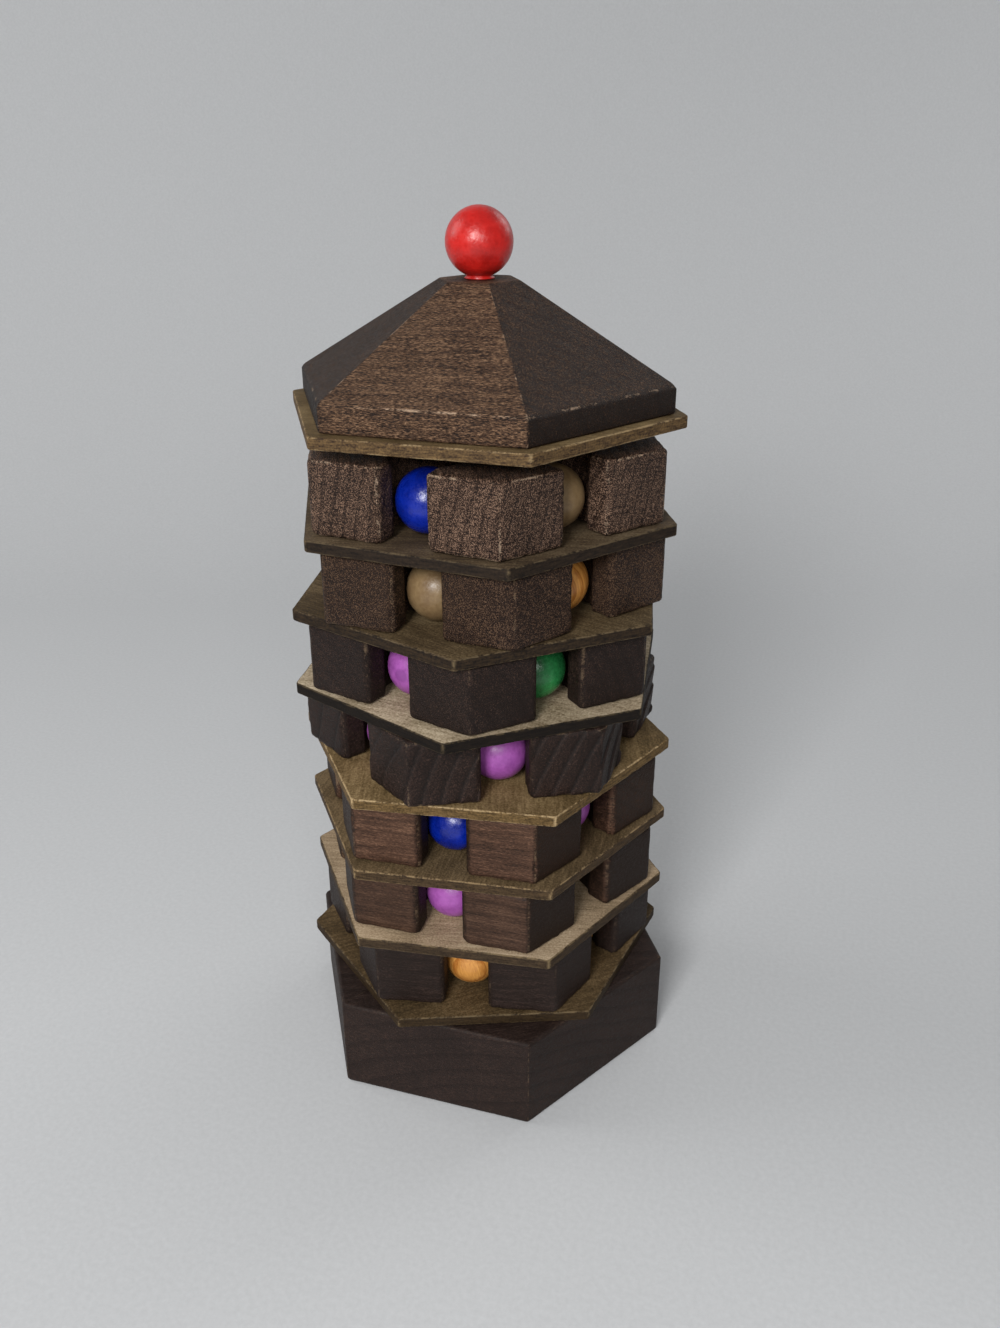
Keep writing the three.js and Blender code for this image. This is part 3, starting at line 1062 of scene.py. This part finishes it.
@dataclass
class Plate:
    """One thin hexagonal board: a floor that turns, or the fixed board under the roof."""

    node: str
    body: str
    finish: WornBoard
    has_ball_hole: bool
    corner: float = 1.1
    corner_steps: int = 4
    corner_wear: float = 0.8
    rim: float = 0.32
    rim_steps: int = 3
    unevenness: float = 0.45
    bore_diameter: float = BORE_DIAMETER
    ball_hole_diameter: float = CELL_DIAMETER
    bore_steps: int = 40

    def build(self) -> None:
        """Make the plate and put it in its place."""
        low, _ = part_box(self.node)
        slab = Slab(height_of(self.node), self.rim, self.unevenness, self.rim_steps, seed=low.z / MM,
                    rim_is_sawn=True)
        holes = [round_hole(Vector((0, 0)), self.bore_diameter / 2, self.bore_steps)]
        if self.has_ball_hole:
            cell = Vector((0, cell_reach()))
            holes.append(round_hole(cell, self.ball_hole_diameter / 2, self.bore_steps))
        turn = turn_of(self.node)
        outline = hex_loop(flat_of(self.node, turn), self.corner, self.corner_steps, self.corner_wear)
        surface = slab.build(outline, holes)
        obj = surface.finished(f"{self.node}_board", self.finish.build(), turn, low.z / MM)
        place_piece(obj, self.body, "stained_plate", self.node)


class Level(NamedTuple):
    """One level of a block: distance from its middle to a side, height, and wear."""

    flat: float
    height: float
    wear: float = 0.0


class BlindHole(NamedTuple):
    """A round hole that ends inside a block."""

    radius: float
    depth: float


@dataclass(frozen=True)
class SandedEdge:
    """An edge round a block, which sanding has rounded: each point is an inset and a rise from the edge."""

    flat: float
    height: float
    start: tuple[float, float]
    bend: tuple[float, float]
    end: tuple[float, float]
    wear: float

    def levels(self) -> list[Level]:
        """Levels of the edge, from the bottom up. Only its bend is worn."""
        points = ((*self.start, 0.0), (*self.bend, self.wear), (*self.end, 0.0))
        return [Level(self.flat - inset, self.height + rise, wear) for inset, rise, wear in points]


@dataclass
class HexBlock:
    """A solid hexagonal block given by its edges, with blind round sockets in its faces."""

    node: str
    slot: str
    finish: StainedBeech
    edges: Sequence[SandedEdge]
    socket_above: BlindHole
    socket_below: BlindHole | None = None
    ridge: float = 0.7
    ridge_steps: int = 5
    ridge_wear: float = 1.0
    spacing: float = 1.4
    unevenness: float = 0.12

    SANDING_MIDDLE = 0.5
    SANDING_WAVES = ((0.5, 0.5), (1.5, 0.4))

    def build(self) -> None:
        """Make the block from rings that follow the profile, and put it in its place."""
        low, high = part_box(self.node)
        surface = SurfaceMesh()
        profile = [level for edge in self.edges for level in edge.levels()]
        widest = max(level.flat for level in profile)
        pattern = divided(hex_loop(widest, self.ridge, self.ridge_steps, self.ridge_wear), self.spacing)
        rings = []
        if self.socket_below:
            radius, depth = self.socket_below
            bottom = profile[0].height
            rings += [self._circle(surface, pattern, radius, bottom + depth),
                      self._circle(surface, pattern, radius, bottom)]
        rings += [self._hexagon(surface, pattern, widest, level) for level in profile]
        radius, depth = self.socket_above
        top = profile[-1].height
        rings += [self._circle(surface, pattern, radius, top),
                  self._circle(surface, pattern, radius, top - depth)]
        surface.skin(rings)
        surface.cap([rings[0]])
        surface.cap([rings[-1]])
        material = self.finish.build((low.z + high.z) / 2 / MM)
        obj = surface.finished(f"{self.node}_block", material, lift=low.z / MM)
        place_piece(obj, ROOT_BODY, self.slot, self.node)

    def _hexagon(self, surface: SurfaceMesh, pattern: Loop, widest: float, level: Level) -> list[Vert]:
        """Add the ring of one level, which sanding has left a little uneven where its edge wears.

        Args:
            surface: Mesh that takes the points.
            pattern: Hexagon at the block's widest level.
            widest: Distance from its middle to a side there.
            level: The level.

        Returns:
            The points of the ring.
        """
        flat, height, wear = level
        ring = []
        for point, ridge_wear in pattern:
            sample = Vector((point.x, point.y, height))
            inset = self.SANDING_MIDDLE
            inset += sum(weight * noise.noise(sample * waves) for waves, weight in self.SANDING_WAVES)
            place = point * (flat - self.unevenness * wear * max(0.0, inset)) / widest
            ring.append(surface.point((place.x, place.y, height), max(wear, ridge_wear)))
        return ring

    def _circle(self, surface: SurfaceMesh, pattern: Loop, radius: float, height: float) -> list[Vert]:
        """Round ring with one point for each point of the hexagon."""
        return [surface.point((*(point.normalized() * radius), height)) for point, _ in pattern]


@dataclass
class TurnedBall:
    """A ball turned on a lathe, with the small flats that its centres left at both ends."""

    node: str
    body: str
    slot: str
    material: Material
    diameter: float
    tilt: tuple[float, float]
    flat: float = 0.9
    rings: int = 28
    spokes: int = 44
    ripple: float = 0.012
    ripples: int = 46
    nub: float = 0.02

    def build(self) -> None:
        """Make the ball and put it in its place."""
        low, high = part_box(self.node)
        centre = (low + high) / 2 / MM
        surface = SurfaceMesh()
        radius = self.diameter / 2
        start = math.asin(self.flat / radius)
        rings = []
        for i in range(self.rings + 1):
            angle = start + (math.pi - 2 * start) * i / self.rings
            reach = radius - self.ripple * (1 + math.cos(angle * self.ripples))
            thin = 1.0 if i in (0, self.rings) else 0.0
            across, up = reach * math.sin(angle), -reach * math.cos(angle)
            rings.append(surface.circle(across, up, self.spokes, thin))
        surface.skin(rings)
        for ring, end in ((rings[0], -1), (rings[-1], 1)):
            tip = surface.point((0, 0, end * (radius * math.cos(start) + self.nub)), 1.0)
            for k in range(self.spokes):
                surface.mesh.faces.new((ring[k], ring[k - 1], tip))
        lean = Matrix.Rotation(self.tilt[1], 4, "Z") @ Matrix.Rotation(self.tilt[0], 4, "X")
        bmesh.ops.transform(surface.mesh, matrix=lean, verts=surface.mesh.verts)
        bmesh.ops.translate(surface.mesh, vec=centre, verts=surface.mesh.verts)
        obj = surface.finished(f"{self.node}_turned", self.material)
        place_piece(obj, self.body, self.slot, self.node)


@dataclass
class Finial:
    """The red ball on the roof, turned in one piece with the short foot that it stands on."""

    material: Material
    diameter: float = 12.3
    neck_diameter: float = 4.8
    foot_diameter: float = 5.6
    foot_height: float = 0.6
    foot_rim: float = 0.15
    flare: float = 0.3
    tip_angle: float = 0.06
    rings: int = 40
    spokes: int = 56
    node: str = "finial_ball"

    def build(self) -> None:
        """Make the finial and put it in its place."""
        _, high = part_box(self.node)
        roof_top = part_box("roof")[1].z / MM
        surface = SurfaceMesh()
        radius = self.diameter / 2
        middle = high.z / MM - radius
        profile = self._profile(radius, middle - roof_top)
        rings = [surface.circle(reach, middle + height, self.spokes) for reach, height in profile]
        surface.skin(rings)
        surface.cap([rings[0]])
        surface.cap([rings[-1]])
        obj = surface.finished(f"{self.node}_turned", self.material)
        place_piece(obj, ROOT_BODY, "red_paint", self.node)

    def _profile(self, radius: float, drop: float) -> list[tuple[float, float]]:
        """Outline of the finial from the foot's flared rim up over the ball.

        Args:
            radius: Radius of the ball.
            drop: Height of the ball's middle over the roof.

        Returns:
            Radius and height of each ring, counted from the ball's middle.
        """
        foot, neck = self.foot_diameter / 2, self.neck_diameter / 2
        start = math.asin(neck / radius)
        bottom = self.foot_rim / 2 - drop
        points = [(foot - self.foot_rim, bottom), (foot, bottom + self.foot_rim / 2),
                  (neck + self.flare * (foot - neck), bottom + self.foot_height / 2)]
        for i in range(self.rings):
            angle = start + (math.pi - start - self.tip_angle) * i / (self.rings - 1)
            points.append((radius * math.sin(angle), -radius * math.cos(angle)))
        return points


def bearing(azimuth: float, elevation: float) -> Vector:
    """Direction from the object towards a place round it.

    Args:
        azimuth: Degrees from the front, anticlockwise seen from above.
        elevation: Degrees over the floor.

    Returns:
        A unit vector.
    """
    turn, rise = math.radians(azimuth), math.radians(elevation)
    return Vector((math.sin(turn) * math.cos(rise), -math.cos(turn) * math.cos(rise), math.sin(rise)))


@dataclass(frozen=True)
class SoftLamp:
    """A square soft lamp that faces the middle of the object."""

    name: str
    azimuth: float
    elevation: float
    size: float
    power: float
    distance: float = 700.0

    def build(self, target: Vector) -> None:
        """Make the lamp.

        Args:
            target: Point that it faces.
        """
        data = bpy.data.lights.new(self.name, "AREA")
        data.shape = "SQUARE"
        data.size = self.size * MM
        data.energy = self.power
        lamp = bpy.data.objects.new(self.name, data)
        direction = bearing(self.azimuth, self.elevation)
        lamp.location = (target + direction * self.distance) * MM
        lamp.rotation_euler = (-direction).to_track_quat("-Z", "Y").to_euler()
        bpy.context.scene.collection.objects.link(lamp)


@dataclass(frozen=True)
class Studio:
    """Pale sweep, soft lamps and the camera that stands where the photograph was taken from."""

    azimuth: float = 17.5
    elevation: float = 24.97
    roll: float = -0.244
    distance: float = 241.7
    target_height: float = 87.5
    target_right: float = 3.39
    lens: float = 31.43
    sensor: float = 36.0
    nearest: float = 10.0
    paper: MattPaper = MattPaper()
    paper_front: float = -900.0
    paper_back: float = 500.0
    paper_rise: float = 900.0
    paper_bend: float = 250.0
    paper_half_width: float = 1500.0
    bend_steps: int = 16
    sky_colour: str = "#e4e6e8"
    sky_strength: float = 0.23

    LAMPS = (SoftLamp("key", -0.5, 29.0, 200.0, 3.9), SoftLamp("front_fill", 26.5, 23.0, 160.0, 0.8),
             SoftLamp("left_fill", -82.5, 32.0, 400.0, 1.3), SoftLamp("back_fill", 152.5, 30.0, 400.0, 1.1))

    def build(self) -> None:
        """Make the floor, the lamps, the world and the camera."""
        self._sweep()
        self._world()
        for lamp in self.LAMPS:
            lamp.build(Vector((0, 0, self.target_height)))
        self._camera()

    def _sweep(self) -> None:
        """Make the paper sweep: floor and backdrop in one curve, square to the camera."""
        bend, corner = self.paper_bend, self.paper_back - self.paper_bend
        profile = [(self.paper_front, 0.0), (corner, 0.0)]
        for i in range(1, self.bend_steps + 1):
            angle = math.pi / 2 * i / self.bend_steps
            profile.append((corner + bend * math.sin(angle), bend - bend * math.cos(angle)))
        profile.append((self.paper_back, self.paper_rise))
        mesh = bmesh.new()
        left, right = ([mesh.verts.new((x * MM, y * MM, z * MM)) for y, z in profile]
                       for x in (-self.paper_half_width, self.paper_half_width))
        for i in range(len(profile) - 1):
            mesh.faces.new((left[i], right[i], right[i + 1], left[i + 1])).smooth = True
        turn = Matrix.Rotation(math.radians(self.azimuth), 3, "Z")
        bmesh.ops.rotate(mesh, cent=(0, 0, 0), matrix=turn, verts=mesh.verts)
        data = bpy.data.meshes.new("sweep")
        mesh.to_mesh(data)
        mesh.free()
        data.materials.append(self.paper.build())
        sweep = bpy.data.objects.new("sweep", data)
        bpy.context.scene.collection.objects.link(sweep)

    def _world(self) -> None:
        """Make the even light from all round."""
        world = bpy.data.worlds.new("studio")
        bpy.context.scene.world = world
        world.use_nodes = True
        tree = world.node_tree
        tree.nodes.clear()
        sky = add_node(tree, "Background", Color=linear(self.sky_colour), Strength=self.sky_strength)
        add_node(tree, "OutputWorld", Surface=sky.outputs[0])

    def _camera(self) -> None:
        """Make the camera, at the photograph's place, aim and field of view."""
        data = bpy.data.cameras.new("camera")
        data.lens = self.lens
        data.sensor_width = self.sensor
        data.clip_start = self.nearest * MM
        camera = bpy.data.objects.new("camera", data)
        back = bearing(self.azimuth, self.elevation)
        turn = math.radians(self.azimuth)
        right = Vector((math.cos(turn), math.sin(turn), 0.0))
        target = Vector((0, 0, self.target_height)) + right * self.target_right
        aim = (-back).to_track_quat("-Z", "Y").to_matrix().to_4x4()
        aim = aim @ Matrix.Rotation(math.radians(self.roll), 4, "Z")
        camera.matrix_world = Matrix.Translation((target + back * self.distance) * MM) @ aim
        bpy.context.scene.collection.objects.link(camera)
        bpy.context.scene.camera = camera


class BallColour(str, Enum):
    """Colours of the balls, each with the name of its material slot."""

    BLUE = "blue_paint"
    OLIVE = "olive_paint"
    GREEN = "green_paint"
    PINK = "pink_paint"
    ORANGE = "clear_orange_wood"


BALL_DIAMETER = 12.0
FASCIA_HEIGHT = 4.98  # Height of the roof's upright edge.
CROWN_FLAT = 7.0  # Distance from the middle to a side of the roof's small flat top.

# Least and greatest roughness of the lacquers.
GLOSSY = (0.22, 0.38)
SATIN = (0.32, 0.48)
RED_GLOSS = (0.28, 0.44)

# No two balls lie alike: each leans and turns by the golden section further than the one before it.
GOLDEN_SHARE = 0.618034
GOLDEN_ANGLE = math.pi * (3 - math.sqrt(5))
BALL_LEAN = 0.5
BALL_LEAN_RANGE = 2.0


def tier_finishes() -> list[StainedBeech]:
    """Finish of each tier's board, from the top down.

    Returns:
        One finish for each tier, with the board's own grain, rings and wear.
    """
    turn = math.radians
    return [
        StainedBeech("stained_beech_tier_1", turn(-66), grain_tilt=0.06, pith=(-78.0, 16.0), ring_width=2.2,
                     groove=0.2, mid="#3d2b22", light="#917460", bare="#c4aa90", wear=0.7, speckle_and_glint=1.6,
                     saw_marks=0.3, seed=3.0),
        StainedBeech("stained_beech_tier_2", turn(-94), pith=(60.0, 30.0), ring_width=3.4, ring_depth=0.08,
                     groove=0.02, mid="#2d1d15", light="#68503d", speckle_and_glint=1.6, saw_marks=0.15, seed=61.0),
        StainedBeech("stained_beech_tier_3", turn(-80), pith=(50.0, 30.0), ring_width=2.6, ring_depth=0.12,
                     groove=0.04, mid="#1b1210", light="#48362d", wear=0.35, speckle_and_glint=1.2, saw_marks=0.2,
                     seed=119.0),
        # Tier 4's brushed steps: their feet are darkened by settled stain and by painted shade.
        StainedBeech("stained_beech_tier_4", turn(-66), pith=(-62.0, 23.0), ring_width=3.4, ring_depth=0.6,
                     groove=0.0, brushed=0.55, dark="#0f0a08", mid="#261b17", light="#523e36", wear=0.4,
                     speckle_and_glint=0.6, seed=177.0),
        StainedBeech("stained_beech_tier_5", turn(4), pith=(50.0, 44.0), ring_width=3.0, ring_depth=0.1,
                     groove=0.03, dark="#24170f", mid="#4f372a", light="#86654f", wear=0.4, speckle_and_glint=0.5,
                     end_grain=0.6, seed=235.0),
        StainedBeech("stained_beech_tier_6", turn(0), pith=(44.0, -40.0), ring_width=3.2, ring_depth=0.08,
                     groove=0.03, dark="#20150f", mid="#432f24", light="#6b5140", wear=0.3, speckle_and_glint=0.45,
                     end_grain=0.6, seed=293.0),
        StainedBeech("stained_beech_tier_7", turn(15), pith=(36.0, 52.0), ring_width=3.0, ring_depth=0.08,
                     groove=0.03, mid="#241a16", light="#40302a", wear=0.18, speckle_and_glint=0.5, seed=351.0),
    ]


def plate_finishes() -> list[WornBoard]:
    """Finish of each floor plate, from the top down.

    Returns:
        One finish for each plate, with its own streaks, rim tone and wear.
    """
    turn = math.radians
    return [
        WornBoard("worn_board_plate_1", turn(10), "#322820", "#544533", "#7a6a53",
                  "#17110d", "#33281e", wear=0.35, seed=2.0),
        WornBoard("worn_board_plate_2", turn(-20), "#30261b", "#53442f", "#7a684c",
                  "#17110d", "#3a2d1f", wear=0.4, seed=9.0),
        WornBoard("worn_board_plate_3", turn(-8), "#6d5d44", "#aa987e", "#d6c5a8",
                  "#0e0a08", "#1f1812", wear=0.25, seed=16.0),
        WornBoard("worn_board_plate_4", turn(107), "#45371f", "#715c3d", "#97805b",
                  "#3f301a", "#7d6440", "#c9ae84", wear=0.9, seed=23.0),
        WornBoard("worn_board_plate_5", turn(95), "#3d311f", "#5e4d36", "#836e50",
                  "#2b2015", "#574530", "#b3986f", wear=0.75, seed=30.0),
        WornBoard("worn_board_plate_6", turn(12), "#76664d", "#a68f73", "#c7b294",
                  "#2a2017", "#4c3d2c", wear=0.6, seed=37.0),
        WornBoard("worn_board_plate_7", turn(40), "#352a1a", "#53422b", "#735f43",
                  "#241a0f", "#40311e", wear=0.5, seed=44.0),
    ]


def build_balls() -> None:
    """Make every ball that lies in a cell."""
    materials = {
        BallColour.BLUE: Lacquer("blue_lacquer", "#06269c", "#041a78", GLOSSY, coat=0.1).build(),
        BallColour.OLIVE: Lacquer("olive_lacquer", "#8b7351", "#735b3e", SATIN).build(),
        BallColour.GREEN: Lacquer("green_lacquer", "#2a8245", "#1c5d31", GLOSSY, coat=0.1).build(),
        BallColour.PINK: Lacquer("pink_lacquer", "#a95aae", "#8b4391", SATIN).build(),
        BallColour.ORANGE: PaleTurnedWood("orange_lacquered_wood").build(),
    }
    names = sorted(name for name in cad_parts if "_ball_tier" in name)
    for count, node in enumerate(names):
        colour = BallColour[node.split("_")[0].upper()]
        tilt = (BALL_LEAN + count * GOLDEN_SHARE % 1 * BALL_LEAN_RANGE, count * GOLDEN_ANGLE)
        TurnedBall(node, node, colour.value, materials[colour], BALL_DIAMETER, tilt).build()


def build_fixed() -> None:
    """Make the base, roof, roof plate, finial and dowel."""
    turn = math.radians
    base = StainedBeech("stained_beech_base", turn(30), grain_tilt=0.1, pith=(60.0, 40.0), ring_width=3.6,
                        ring_depth=0.14, groove=0.04, mid="#291e1a", light="#45342c", wear=0.25, speckle_and_glint=0.5,
                        seed=409.0)
    roof = StainedBeech("stained_beech_roof", turn(4), pith=(70.0, 40.0), ring_width=3.4, ring_depth=0.1,
                        groove=0.03, mid="#533c2c", light="#8c6e54", bare="#b89c82", wear=0.9, speckle_and_glint=1.2,
                        speck=(0.7, 0.15, 0.15), saw_marks=0.15, end_grain=0.7, seed=467.0)
    flat, top = flat_of("base", 0.0), height_of("base")
    foot = SandedEdge(flat, 0.0, start=(0.8, 0.0), bend=(0.3, 0.2), end=(0.0, 0.8), wear=0.6)
    shoulder = SandedEdge(flat, top, start=(0.0, -0.8), bend=(0.2, -0.25), end=(0.8, 0.0), wear=0.7)
    dowel_socket = BlindHole(DOWEL_SOCKET_RADIUS, depth=15.0)
    HexBlock("base", "stained_base", base, [foot, shoulder], dowel_socket).build()

    flat, top = flat_of("roof", 0.0), height_of("roof")
    foot = SandedEdge(flat, 0.0, start=(0.55, 0.0), bend=(0.15, 0.15), end=(0.0, 0.5), wear=0.5)
    eave = SandedEdge(flat, FASCIA_HEIGHT, start=(0.0, -0.48), bend=(0.25, 0.0), end=(0.75, 0.47), wear=1.0)
    crown = SandedEdge(CROWN_FLAT, top, start=(0.0, -0.3), bend=(0.3, -0.08), end=(0.7, 0.0), wear=0.6)
    tenon_hole = BlindHole(radius=1.65, depth=7.0)
    dowel_socket = BlindHole(DOWEL_SOCKET_RADIUS, depth=10.0)
    HexBlock("roof", "stained_roof", roof, [foot, eave, crown], tenon_hole, dowel_socket).build()
    board = WornBoard("worn_board_roof_plate", turn(5), "#453722", "#6a573b", "#8d7854",
                      "#33251a", "#745c3c", "#b59c74", wear=0.8, seed=51.0)
    Plate("roof_plate", ROOT_BODY, board, has_ball_hole=False).build()
    Finial(Lacquer("red_lacquer", "#c71d17", "#a3130f", RED_GLOSS, coat=0.12).build()).build()
    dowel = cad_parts["center_dowel"]
    dowel.data.materials.clear()
    birch = PaleTurnedWood("bare_birch_dowel", "#b08c60", "#d3b585", roughness=(0.55, 0.7), coat=0.0)
    dowel.data.materials.append(birch.build())
    LOG.info("center_dowel keeps its own solid")


def main() -> None:
    """Build the pieces, the studio and the camera in order."""
    logging.basicConfig(level=logging.INFO, format="%(name)s: %(message)s")
    for number, finish in enumerate(tier_finishes(), 1):
        Tier(number, finish).build()
    boards = plate_finishes()
    for number, finish in enumerate(boards, 1):
        node = f"plate_{number}"
        Plate(node, node, finish, has_ball_hole=number < len(boards)).build()
    build_balls()
    build_fixed()
    Studio().build()
    bpy.context.scene.view_settings.view_transform = "Standard"


if __name__ == "__main__":
    main()
